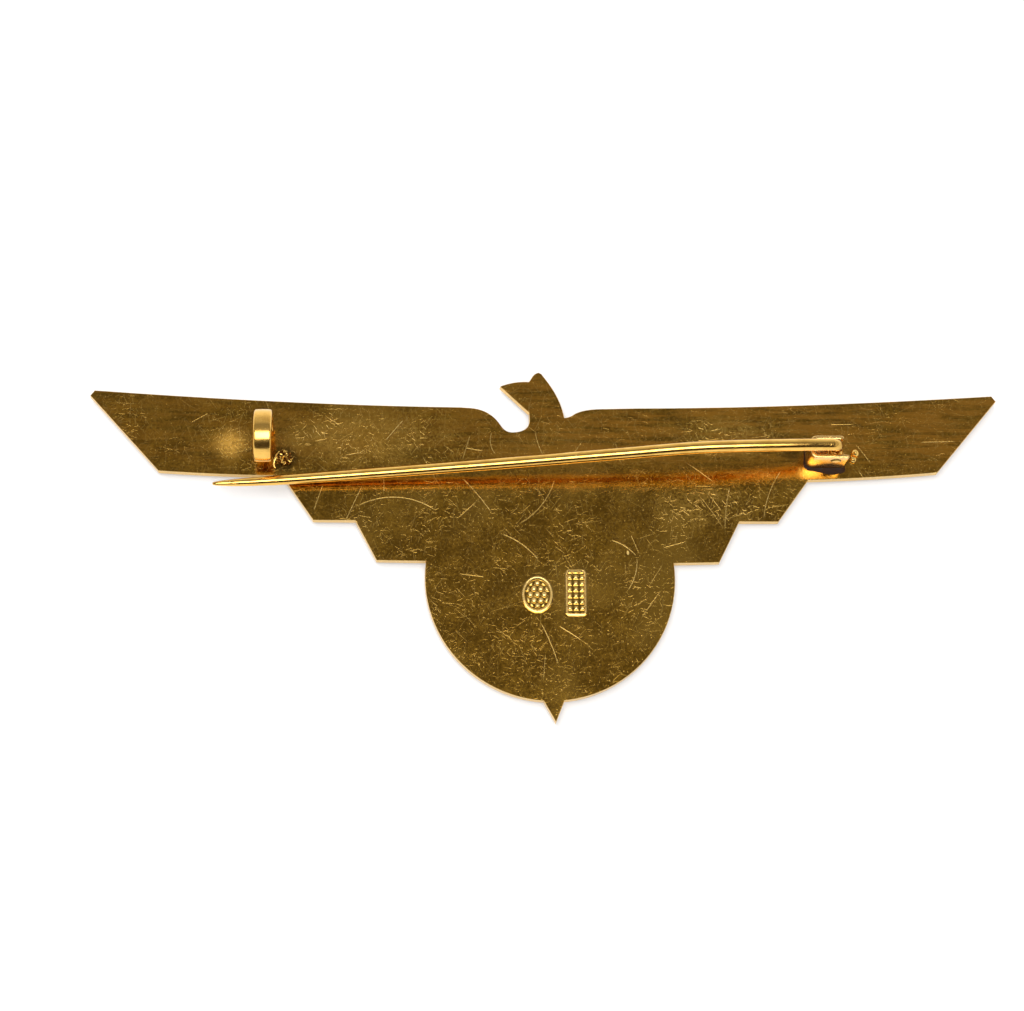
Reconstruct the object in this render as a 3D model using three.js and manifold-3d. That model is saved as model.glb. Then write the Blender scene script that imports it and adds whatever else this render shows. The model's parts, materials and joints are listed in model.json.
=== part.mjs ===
// Pilot wings pin: a cut sheet-gold badge lying face down, with its brooch fittings on top.
// Millimetres. +Z up, X along the wing span, Y towards the bird's head.
// Each piece is drawn about the centre of the round disc, and the whole badge is then
// moved in Y so that the origin sits under the middle of its outline, on the table.
import * as THREE from 'three';
import { mergeVertices } from 'three/addons/utils/BufferGeometryUtils.js';
import Module from 'manifold-3d';

const wasm = await Module();
wasm.setup();

// ---------- driving dimensions ----------

const RELIEF_DEPTH = 0.5; // raised work on the hidden front, from the table up to the sheet
const SHEET_THICKNESS = 0.62;
const SEAM = 0.02; // clearance between pieces that touch
const SHEET_BOTTOM = RELIEF_DEPTH;
const SHEET_TOP = SHEET_BOTTOM + SHEET_THICKNESS;

// outline of the sheet
const DISC_RADIUS = 9.47;
const TAIL = { leftX: -0.62, rightX: 0.9, tipX: 0.26, tipY: -11.05 };
const WING_TIP = { topX: 34.68, topY: 14.63, sideX: 35, sideY: 14.21 };
const WING_TOP = { startX: 6.8, startY: 13.46, bendX: 18.97, bendY: 13.55 };
const HINGE_SIDE = {
  corner: [30.06, 8.42],
  bend: [25, 7.95],
  notch: [19.99, 7.77],
  middleOuter: [17.54, 4.44],
  middleInner: [14.53, 4.44],
  lowerOuter: [12.89, 1.22],
  lowerInner: [9.4, 1.14],
};
const CATCH_SIDE = {
  corner: [-29.67, 8.27],
  bend: [-25.2, 7.96],
  notch: [-20.32, 7.92],
  middleOuter: [-17.92, 4.43],
  middleInner: [-14.74, 4.42],
  lowerOuter: [-13.12, 1.31],
  lowerInner: [-9.38, 1.26],
};
const CREST = { x: -0.66, y: 16.31 };
const BEAK_TIP = { x: -3.65, y: 15.14 };
const CURVE_STEPS = 10; // straight steps in each outline curve
const DISC_STEPS = 48;

// shallow punch marks on the back of the disc
const PUNCH_DEPTH = 0.1;
const OVAL_PUNCH = { x: -1, y: -1.28, radiusX: 1.08, radiusY: 1.28 };
const BAR_PUNCH = { x: 1.92, y: -1.15, width: 1.4, height: 3.36, corner: 0.2 };

// raised work on the front
const RELIEF_INSET = 0.5;
const FEATHER_STEP = 0.08; // each row of feathers is this much thinner than the one above
const ROUNDEL_CLEAR_RADIUS = 9.06;
const BEZEL = { outer: 9, inner: 8.2 };
const ENAMEL = { radius: 8.17, bottom: 0.1 };
const STAR = { points: 8, outer: 6.2, inner: 2.1 };
const RING_STEPS = 64;

// hinge: an open-topped box of folded sheet, with a rivet along Y
const HINGE = {
  x: 21.8, y: 9.6, left: -2.02, right: 0.95, slant: 0.42, width: 1.78, height: 2.8,
  wall: 0.3, floor: 0.27, leftCorner: 0.55, rightCorner: 0.2, stopHeight: 1.15,
};
const RIVET = {
  height: 2, shank: 0.28, bore: 0.3,
  headRadius: 0.4, headHeight: 0.16, headRim: 0.07, // the head is domed above its rim
  crownRadius: 0.25, crownDrop: 0.03,
};
const RIVET_STEPS = 24;

// pin: a knuckle in the hinge, and a long tapered wire
const KNUCKLE = { eyeRadius: 0.56, eyeWidth: 1.02, bore: 0.31, bend: 0.6, stub: 0.95 };
const WIRE = { height: 3.44, rootRadius: 0.46, endRadius: 0.36, pointLength: 4.4, tipRadius: 0.12 };
const WIRE_GAP = 0.08; // between knuckle and wire, for the wire's sideways spring
const WIRE_LENGTH = 47.26;
const WIRE_ANGLE = THREE.MathUtils.degToRad(3.08); // off the X axis, away from the catch
const WIRE_SIDES = 14;
const WIRE_ARCH = [ // distance from the hinge, height above the sheet
  [0, 3.44], [4.5, 3.95], [10.5, 4.33], [16.7, 3.62],
  [25.7, 2.48], [34.7, 1.5], [43.4, 0.74], [WIRE_LENGTH, 0.68],
];

// catch: a half-round band bent into a hook that opens away from the head
const CATCH = {
  x: -21.71, y: 10.52, height: 1.72, outer: 2.04, thickness: 0.68, width: 1.42,
  lipAngle: 95, footAngle: -147,
};
const CATCH_STEPS = 48;

// solder
const CATCH_SOLDER = { x: -20.15, y: 9.3, radius: 0.6, height: 0.42 };
const HINGE_SOLDER = [
  { x: 1.88, y: 0.3, radius: 0.28, height: 0.36 },
  { x: 1.72, y: -0.22, radius: 0.24, height: 0.3 },
];

const BADGE_MIDDLE_Y = (CREST.y + TAIL.tipY) / 2;

// ---------- materials ----------

const oldGold = new THREE.MeshStandardMaterial({ color: 0x7d6224, roughness: 0.4, metalness: 1 });
const brightGold = new THREE.MeshStandardMaterial({ color: 0xd9a84a, roughness: 0.2, metalness: 1 });
const reliefGold = new THREE.MeshStandardMaterial({ color: 0xc08f38, roughness: 0.3, metalness: 1 });
const solder = new THREE.MeshStandardMaterial({ color: 0x8a6a3a, roughness: 0.55, metalness: 1 });
const enamel = new THREE.MeshStandardMaterial({ color: 0x14264f, roughness: 0.12, metalness: 0 });

// ---------- solids ----------

function solidFrom(geometry) {
  const bare = geometry.clone();
  bare.deleteAttribute('normal');
  bare.deleteAttribute('uv');
  const merged = mergeVertices(bare, 1e-4);
  const corners = merged.index.array;
  const kept = [];
  for (let i = 0; i < corners.length; i += 3) {
    const [a, b, c] = corners.slice(i, i + 3);
    if (a !== b && b !== c && c !== a) kept.push(a, b, c);
  }
  return new wasm.Manifold(new wasm.Mesh({
    numProp: 3,
    vertProperties: Float32Array.from(merged.attributes.position.array),
    triVerts: Uint32Array.from(kept),
  }));
}

function geometryFrom(solid) {
  const mesh = solid.getMesh();
  const geometry = new THREE.BufferGeometry();
  geometry.setAttribute('position', new THREE.BufferAttribute(mesh.vertProperties, 3));
  geometry.setIndex(new THREE.BufferAttribute(mesh.triVerts, 1));
  return geometry;
}

function piece(name, solid, material) {
  const mesh = new THREE.Mesh(geometryFrom(solid), material);
  mesh.name = name;
  return mesh;
}

function slab(shape, bottom, top) {
  const geometry = new THREE.ExtrudeGeometry(shape, {
    depth: top - bottom,
    bevelEnabled: false,
    curveSegments: CURVE_STEPS,
  });
  geometry.translate(0, 0, bottom);
  return solidFrom(geometry);
}

function disc(radius, bottom, top, steps = RING_STEPS) {
  const geometry = new THREE.CylinderGeometry(radius, radius, top - bottom, steps);
  geometry.rotateX(Math.PI / 2);
  geometry.translate(0, 0, (bottom + top) / 2);
  return solidFrom(geometry);
}

function crossRod(radius, length, height) {
  const geometry = new THREE.CylinderGeometry(radius, radius, length, RIVET_STEPS);
  geometry.translate(0, 0, height);
  return solidFrom(geometry);
}

function box(lowX, highX, lowY, highY, lowZ, highZ) {
  const geometry = new THREE.BoxGeometry(highX - lowX, highY - lowY, highZ - lowZ);
  geometry.translate((lowX + highX) / 2, (lowY + highY) / 2, (lowZ + highZ) / 2);
  return solidFrom(geometry);
}

function polygon(points) {
  return new THREE.Shape(points.map(([x, y]) => new THREE.Vector2(x, y)));
}

// a solder lump: a squashed ball with its lower part cut off flat
function lump({ x, y, radius, height }) {
  const geometry = new THREE.SphereGeometry(radius, 16, 10);
  geometry.scale(1, 1, height / radius);
  geometry.translate(x, y, 0);
  const reach = radius * 1.5;
  const below = box(x - reach, x + reach, y - reach, y + reach, -height * 2, SEAM);
  return solidFrom(geometry).subtract(below);
}

// ---------- the sheet ----------

function wingEdgeOutward(shape, side, sign) {
  shape.lineTo(...side.lowerInner);
  shape.lineTo(...side.lowerOuter);
  shape.lineTo(...side.middleInner);
  shape.lineTo(...side.middleOuter);
  shape.lineTo(...side.notch);
  shape.quadraticCurveTo(...side.bend, ...side.corner);
  shape.lineTo(sign * WING_TIP.sideX, WING_TIP.sideY);
  shape.lineTo(sign * WING_TIP.topX, WING_TIP.topY);
  shape.quadraticCurveTo(sign * WING_TOP.bendX, WING_TOP.bendY, sign * WING_TOP.startX, WING_TOP.startY);
}

// from the hinge-side shoulder, over the crest and beak, down to the throat
function headEdge(shape) {
  shape.lineTo(3.8, 13.38);
  shape.quadraticCurveTo(2.45, 13.3, 1.9, 12.86);
  shape.quadraticCurveTo(1.6, 12.68, 1.26, 12.66);
  shape.quadraticCurveTo(1, 14.2, -0.07, 15.66);
  shape.lineTo(-0.47, 16.21);
  shape.lineTo(CREST.x, CREST.y);
  shape.quadraticCurveTo(-0.95, 16.28, -1.14, 16);
  shape.lineTo(-1.43, 15.55);
  shape.quadraticCurveTo(-2.5, 15.62, -3.6, 15.2);
  shape.lineTo(BEAK_TIP.x, BEAK_TIP.y);
  shape.lineTo(-1.45, 13.05);
}

// the scoop under the beak, up to the catch-side shoulder
function throatEdge(shape) {
  shape.lineTo(-1.42, 12.4);
  shape.quadraticCurveTo(-1.5, 11.5, -2.72, 11.47);
  shape.quadraticCurveTo(-3.3, 11.44, -3.65, 12.02);
  shape.quadraticCurveTo(-4.45, 13.32, -6, 13.41);
}

function halfOutline(side, sign) {
  const half = new THREE.Shape();
  half.moveTo(0, 0);
  wingEdgeOutward(half, side, sign);
  return half;
}

function sheetSolid() {
  const rightHalf = halfOutline(HINGE_SIDE, 1);
  headEdge(rightHalf);
  throatEdge(rightHalf);
  rightHalf.lineTo(-WING_TOP.startX, WING_TOP.startY);
  const leftHalf = halfOutline(CATCH_SIDE, -1);
  const tail = polygon([
    [TAIL.leftX, 1 - DISC_RADIUS],
    [TAIL.leftX, -DISC_RADIUS],
    [TAIL.tipX, TAIL.tipY],
    [TAIL.rightX, -DISC_RADIUS],
    [TAIL.rightX, 1 - DISC_RADIUS],
  ]);
  const whole = slab(rightHalf, SHEET_BOTTOM, SHEET_TOP)
    .add(slab(leftHalf, SHEET_BOTTOM, SHEET_TOP))
    .add(disc(DISC_RADIUS, SHEET_BOTTOM, SHEET_TOP, DISC_STEPS * 2))
    .add(slab(tail, SHEET_BOTTOM, SHEET_TOP));
  return whole.subtract(ovalPunch()).subtract(barPunch());
}

function ovalPunch() {
  const shape = new THREE.Shape();
  shape.absellipse(OVAL_PUNCH.x, OVAL_PUNCH.y, OVAL_PUNCH.radiusX, OVAL_PUNCH.radiusY, 0, Math.PI * 2);
  return slab(shape, SHEET_TOP - PUNCH_DEPTH, SHEET_TOP + PUNCH_DEPTH);
}

// the end at high X can lean, so that its high-Y corner stands further in
function roundedRectangle(lowX, highX, lowY, highY, leftRadius, rightRadius, slant = 0) {
  const farX = highX - slant;
  const shape = new THREE.Shape();
  shape.moveTo(lowX + leftRadius, lowY);
  shape.lineTo(highX - rightRadius, lowY);
  shape.quadraticCurveTo(highX, lowY, highX, lowY + rightRadius);
  shape.lineTo(farX, highY - rightRadius);
  shape.quadraticCurveTo(farX, highY, farX - rightRadius, highY);
  shape.lineTo(lowX + leftRadius, highY);
  shape.quadraticCurveTo(lowX, highY, lowX, highY - leftRadius);
  shape.lineTo(lowX, lowY + leftRadius);
  shape.quadraticCurveTo(lowX, lowY, lowX + leftRadius, lowY);
  return shape;
}

function barPunch() {
  const halfWidth = BAR_PUNCH.width / 2;
  const halfHeight = BAR_PUNCH.height / 2;
  const shape = roundedRectangle(
    BAR_PUNCH.x - halfWidth, BAR_PUNCH.x + halfWidth,
    BAR_PUNCH.y - halfHeight, BAR_PUNCH.y + halfHeight,
    BAR_PUNCH.corner, BAR_PUNCH.corner,
  );
  return slab(shape, SHEET_TOP - PUNCH_DEPTH, SHEET_TOP + PUNCH_DEPTH);
}

// ---------- raised work on the front ----------

// three stepped rows of feathers on one wing, held inside the sheet's outline
function wingRelief(side, sign) {
  const at = ([x, y], alongX, alongY) => [x + sign * alongX, y + alongY];
  const inset = RELIEF_INSET;
  const bodyX = sign * 3.7;
  const upper = polygon([
    [bodyX, 8.3], at(side.notch, -inset, inset), at(side.corner, -inset, inset),
    [sign * (WING_TIP.sideX - 1.2 * inset), WING_TIP.sideY - inset / 2],
    [sign * WING_TOP.bendX, 13.4 - inset], [sign * 5.4, 12.9], [bodyX, 11.1],
  ]);
  const middle = polygon([
    [bodyX, 4.6], at(side.middleInner, 0, inset), at(side.middleOuter, -inset, inset),
    at(side.notch, -1.6 * inset, inset), at(side.notch, -2 * inset, 2 * inset), [bodyX, 9],
  ]);
  const lower = polygon([
    [bodyX, 1.6], at(side.lowerOuter, -inset, inset),
    at(side.middleInner, -1.3 * inset, inset), at(side.middleInner, -2 * inset, 2 * inset), [bodyX, 5.5],
  ]);
  const top = SHEET_BOTTOM - SEAM;
  return slab(upper, 0, top)
    .add(slab(middle, FEATHER_STEP, top))
    .add(slab(lower, 2 * FEATHER_STEP, top))
    .subtract(disc(ROUNDEL_CLEAR_RADIUS, -1, SHEET_TOP));
}

// head, neck and breast of the bird, meeting the round disc below
function headRelief() {
  const shape = new THREE.Shape();
  shape.moveTo(-3.1, 14.95);
  shape.lineTo(-1.05, 13);
  shape.lineTo(-0.95, 11);
  shape.lineTo(-3.3, 10.95);
  shape.lineTo(-3.6, 8);
  shape.lineTo(3.6, 8);
  shape.lineTo(3.6, 11.1);
  shape.lineTo(0.85, 12.3);
  shape.quadraticCurveTo(0.5, 14, -0.45, 15.2);
  shape.lineTo(-0.75, 15.75);
  shape.lineTo(-1.2, 15.1);
  return slab(shape, 0, SHEET_BOTTOM - SEAM).subtract(disc(ROUNDEL_CLEAR_RADIUS, -1, SHEET_TOP));
}

function tailRelief() {
  const shape = polygon([[-0.2, -9.1], [0.6, -9.1], [0.25, -10.5]]);
  return slab(shape, FEATHER_STEP, SHEET_BOTTOM - SEAM).subtract(disc(ROUNDEL_CLEAR_RADIUS, -1, SHEET_TOP));
}

function bezelRing() {
  const top = SHEET_BOTTOM - SEAM;
  return disc(BEZEL.outer, 0, top).subtract(disc(BEZEL.inner, -1, SHEET_TOP));
}

function star() {
  const points = [];
  for (let i = 0; i < STAR.points * 2; i += 1) {
    const radius = i % 2 === 0 ? STAR.outer : STAR.inner;
    const angle = (i * Math.PI) / STAR.points;
    points.push([radius * Math.sin(angle), radius * Math.cos(angle)]);
  }
  return slab(polygon(points), 0, ENAMEL.bottom - SEAM);
}

// ---------- hinge and pin, drawn about the foot of the rivet's centre ----------

function hingeBox() {
  const { left, right, slant, width, height, wall, floor, leftCorner, rightCorner, stopHeight } = HINGE;
  const half = width / 2;
  const outer = roundedRectangle(left, right, -half, half, leftCorner, rightCorner, slant);
  const inner = roundedRectangle(
    left + wall, right - wall, wall - half, half - wall,
    leftCorner - wall / 2, rightCorner / 2, slant,
  );
  return slab(outer, SEAM, height)
    .subtract(slab(inner, floor, height + 1))
    .subtract(box(0, right + 1, wall - half, half - wall, stopHeight, height + 1))
    .subtract(crossRod(RIVET.bore, width * 2, RIVET.height));
}

function hingeRivet() {
  const reach = HINGE.width / 2 + SEAM;
  const end = reach + RIVET.headHeight;
  const top = [[0, end], [RIVET.crownRadius, end - RIVET.crownDrop], [RIVET.headRadius, reach + RIVET.headRim]];
  const profile = [
    ...top.map(([radius, y]) => [radius, -y]),
    [RIVET.headRadius, -reach], [RIVET.shank, -reach],
    [RIVET.shank, reach], [RIVET.headRadius, reach],
    ...top.reverse(),
  ];
  const points = profile.map(([radius, y]) => new THREE.Vector2(radius, y));
  const geometry = new THREE.LatheGeometry(points, RIVET_STEPS);
  geometry.translate(0, 0, RIVET.height);
  return solidFrom(geometry);
}

// the wire's end: up from the rivet's eye, round a bend, and a short way along X
function pinKnuckle() {
  const rise = WIRE.height - KNUCKLE.bend;
  const path = new THREE.CurvePath();
  const at = (x, z) => new THREE.Vector3(x, 0, z);
  path.add(new THREE.LineCurve3(at(0, RIVET.height), at(0, rise)));
  path.add(new THREE.QuadraticBezierCurve3(at(0, rise), at(0, WIRE.height), at(-KNUCKLE.bend, WIRE.height)));
  path.add(new THREE.LineCurve3(at(-KNUCKLE.bend, WIRE.height), at(WIRE_GAP / 2 - KNUCKLE.stub, WIRE.height)));
  const section = new THREE.Shape();
  section.absarc(0, 0, WIRE.rootRadius, 0, Math.PI * 2);
  const wire = solidFrom(new THREE.ExtrudeGeometry(section, {
    steps: 24,
    extrudePath: path,
    curveSegments: WIRE_SIDES / 2,
  }));
  const eye = crossRod(KNUCKLE.eyeRadius, KNUCKLE.eyeWidth, RIVET.height);
  return wire.add(eye).subtract(crossRod(KNUCKLE.bore, HINGE.width * 2, RIVET.height));
}

function wireRadius(distance) {
  const along = distance / WIRE_LENGTH;
  const body = THREE.MathUtils.lerp(WIRE.rootRadius, WIRE.endRadius, along ** 1.5);
  const toTip = (WIRE_LENGTH - distance) / WIRE.pointLength;
  if (toTip >= 1) return body;
  return THREE.MathUtils.lerp(WIRE.tipRadius, body, Math.max(toTip, 0) ** 0.62);
}

// a round tapered wire: rings of corners along the arch, joined and closed at both ends
function pinStem() {
  const arch = new THREE.CatmullRomCurve3(WIRE_ARCH.map(([along, height]) => new THREE.Vector3(-along, 0, height)));
  const start = (KNUCKLE.stub + WIRE_GAP / 2) / WIRE_LENGTH;
  const body = Array.from({ length: 33 }, (_, i) => start + (0.9 - start) * (i / 32));
  const point = [0.915, 0.93, 0.945, 0.96, 0.973, 0.984, 0.993, 1];
  const stations = [...body, ...point];
  const corners = [];
  for (const along of stations) {
    const centre = arch.getPointAt(along);
    const tangent = arch.getTangentAt(along);
    const radius = wireRadius(-centre.x);
    for (let i = 0; i < WIRE_SIDES; i += 1) {
      const angle = (i / WIRE_SIDES) * Math.PI * 2;
      const lift = radius * Math.sin(angle);
      corners.push(centre.x + lift * tangent.z, radius * Math.cos(angle), centre.z - lift * tangent.x);
    }
  }
  const first = arch.getPointAt(stations[0]);
  const last = arch.getPointAt(1);
  corners.push(first.x, 0, first.z, last.x, 0, last.z);
  const firstCentre = stations.length * WIRE_SIDES;
  const triangles = [];
  for (let i = 0; i < WIRE_SIDES; i += 1) {
    const next = (i + 1) % WIRE_SIDES;
    triangles.push(firstCentre, i, next);
    for (let ring = 0; ring < stations.length - 1; ring += 1) {
      const near = ring * WIRE_SIDES;
      const far = near + WIRE_SIDES;
      triangles.push(near + i, far + i, near + next, near + next, far + i, far + next);
    }
    const lastRing = (stations.length - 1) * WIRE_SIDES;
    triangles.push(lastRing + next, lastRing + i, firstCentre + 1);
  }
  return new wasm.Manifold(new wasm.Mesh({
    numProp: 3,
    vertProperties: Float32Array.from(corners),
    triVerts: Uint32Array.from(triangles),
  }));
}

// ---------- catch ----------

// a whole half-round ring lying across X, less the sector between its lip and its foot
function catchHook() {
  const { outer, thickness, width, lipAngle, footAngle, height } = CATCH;
  const half = width / 2;
  const inner = outer - thickness;
  const shoulder = outer - thickness * 0.45;
  const section = [
    [inner, -half], [shoulder, -half], [outer - 0.1, -half * 0.55], [outer, 0],
    [outer - 0.1, half * 0.55], [shoulder, half], [inner, half], [inner, -half],
  ];
  const geometry = new THREE.LatheGeometry(section.map(([r, x]) => new THREE.Vector2(r, x)), CATCH_STEPS);
  geometry.rotateZ(Math.PI / 2);
  const ring = solidFrom(geometry);
  const reach = outer * 1.6;
  const ray = (degrees, length) => {
    const angle = THREE.MathUtils.degToRad(degrees);
    return [-length * Math.sin(angle), length * Math.cos(angle)];
  };
  const mouth = polygon([
    [0, 0], ray(lipAngle, reach), ray(135, reach * 1.3), ray(180, reach), ray(360 + footAngle, reach),
  ]);
  const wedge = new THREE.ExtrudeGeometry(mouth, { depth: width * 2, bevelEnabled: false });
  wedge.translate(0, 0, -width);
  wedge.rotateY(Math.PI / 2);
  wedge.rotateX(Math.PI / 2);
  const below = box(-width, width, -reach, reach, -2 * height - reach, SEAM - height);
  return ring.subtract(solidFrom(wedge)).subtract(below);
}

// ---------- assembly ----------

const onSheet = (mesh, x = 0, y = 0, height = 0) => {
  mesh.position.set(x, y, SHEET_TOP + height);
  return mesh;
};

const badge = new THREE.Group();
badge.position.y = -BADGE_MIDDLE_Y;
badge.add(piece('backing_plate', sheetSolid(), oldGold));
badge.add(piece('hinge_side_wing_relief', wingRelief(HINGE_SIDE, 1), reliefGold));
badge.add(piece('catch_side_wing_relief', wingRelief(CATCH_SIDE, -1), reliefGold));
badge.add(piece('head_relief', headRelief(), reliefGold));
badge.add(piece('tail_relief', tailRelief(), reliefGold));
badge.add(piece('roundel_bezel', bezelRing(), reliefGold));
badge.add(piece('roundel_enamel', disc(ENAMEL.radius, ENAMEL.bottom, SHEET_BOTTOM - SEAM), enamel));
badge.add(piece('roundel_star', star(), reliefGold));
badge.add(onSheet(piece('hinge_box', hingeBox(), brightGold), HINGE.x, HINGE.y));
badge.add(onSheet(piece('hinge_rivet', hingeRivet(), brightGold), HINGE.x, HINGE.y));
HINGE_SOLDER.forEach((bead, i) => {
  badge.add(onSheet(piece(`hinge_solder_${i + 1}`, lump(bead), solder), HINGE.x, HINGE.y));
});
badge.add(onSheet(piece('catch_hook', catchHook(), brightGold), CATCH.x, CATCH.y, CATCH.height));
badge.add(onSheet(piece('catch_solder', lump({ ...CATCH_SOLDER, x: 0, y: 0 }), solder), CATCH_SOLDER.x, CATCH_SOLDER.y));
badge.add(onSheet(piece('pin_knuckle', pinKnuckle(), brightGold), HINGE.x, HINGE.y));

const stem = onSheet(piece('pin_stem', pinStem(), brightGold), HINGE.x, HINGE.y);
stem.rotation.z = WIRE_ANGLE;
badge.add(stem);

export default badge;
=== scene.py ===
"""Looks for the pilot wings pin: a gold badge lying face down, with its pin, hinge and catch on top.

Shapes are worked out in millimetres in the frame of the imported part, and become metres when a mesh is made.
"""
import json
import math

import bmesh
import bpy
import numpy as np
from mathutils import Matrix, Vector, noise
from mathutils.geometry import delaunay_2d_cdt


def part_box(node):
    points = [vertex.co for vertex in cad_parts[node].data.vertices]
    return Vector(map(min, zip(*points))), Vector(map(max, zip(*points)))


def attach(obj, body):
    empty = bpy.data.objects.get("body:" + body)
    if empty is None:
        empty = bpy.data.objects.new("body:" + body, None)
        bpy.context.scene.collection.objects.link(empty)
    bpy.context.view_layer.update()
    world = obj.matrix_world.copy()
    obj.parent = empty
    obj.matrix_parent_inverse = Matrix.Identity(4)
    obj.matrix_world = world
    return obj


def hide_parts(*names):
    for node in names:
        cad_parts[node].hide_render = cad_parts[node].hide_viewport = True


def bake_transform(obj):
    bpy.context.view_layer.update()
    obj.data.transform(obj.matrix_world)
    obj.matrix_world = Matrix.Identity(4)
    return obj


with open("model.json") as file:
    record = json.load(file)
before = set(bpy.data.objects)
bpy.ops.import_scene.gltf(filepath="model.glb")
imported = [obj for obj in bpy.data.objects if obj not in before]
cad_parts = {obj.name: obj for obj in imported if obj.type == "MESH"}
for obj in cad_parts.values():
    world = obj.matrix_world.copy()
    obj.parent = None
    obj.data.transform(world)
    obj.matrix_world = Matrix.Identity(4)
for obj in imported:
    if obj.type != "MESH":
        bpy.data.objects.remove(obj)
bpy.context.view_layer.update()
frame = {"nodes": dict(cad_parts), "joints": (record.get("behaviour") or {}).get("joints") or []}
MM = 0.001

# ---------- places taken from the frame ----------


def box_mm(node):
    low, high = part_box(node)
    return low / MM, high / MM


def middle_mm(node):
    low, high = box_mm(node)
    return (low + high) / 2


SHEET_LOW, SHEET_HIGH = box_mm("backing_plate")
SHEET_TOP = SHEET_HIGH.z
SHEET_BOTTOM = SHEET_LOW.z
DISC_MIDDLE = middle_mm("roundel_bezel")
RIVET = middle_mm("hinge_rivet")
HINGE_LOW, HINGE_HIGH = box_mm("hinge_box")
CATCH_LOW, CATCH_HIGH = box_mm("catch_hook")
LUMP_MIDDLE = middle_mm("catch_solder")
WIRE_ROOT = Vector(next(j["pos_m"] for j in frame["joints"] if j["name"] == "wire_spring")) / MM

# ---------- camera ----------

CAMERA_PLACE = Vector((-12.70, -45.49, 175.66))
CAMERA_TARGET = Vector((-2.849, 3.002, 1.12))
CAMERA_TOP = Vector((0.0105, 1, 0))  # the picture's upper side leans this way
CAMERA_LENS = 83.8


def add_camera():
    data = bpy.data.cameras.new("camera")
    data.lens = CAMERA_LENS
    data.sensor_width = 36
    data.clip_start = 0.005
    data.clip_end = 10
    camera = bpy.data.objects.new("camera", data)
    back = (CAMERA_PLACE - CAMERA_TARGET).normalized()
    right = CAMERA_TOP.cross(back).normalized()
    up = back.cross(right)
    turn = Matrix((right, up, back)).transposed()
    camera.matrix_world = Matrix.Translation(CAMERA_PLACE * MM) @ turn.to_4x4()
    bpy.context.scene.collection.objects.link(camera)
    bpy.context.scene.camera = camera


add_camera()

# ---------- shading ----------


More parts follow.
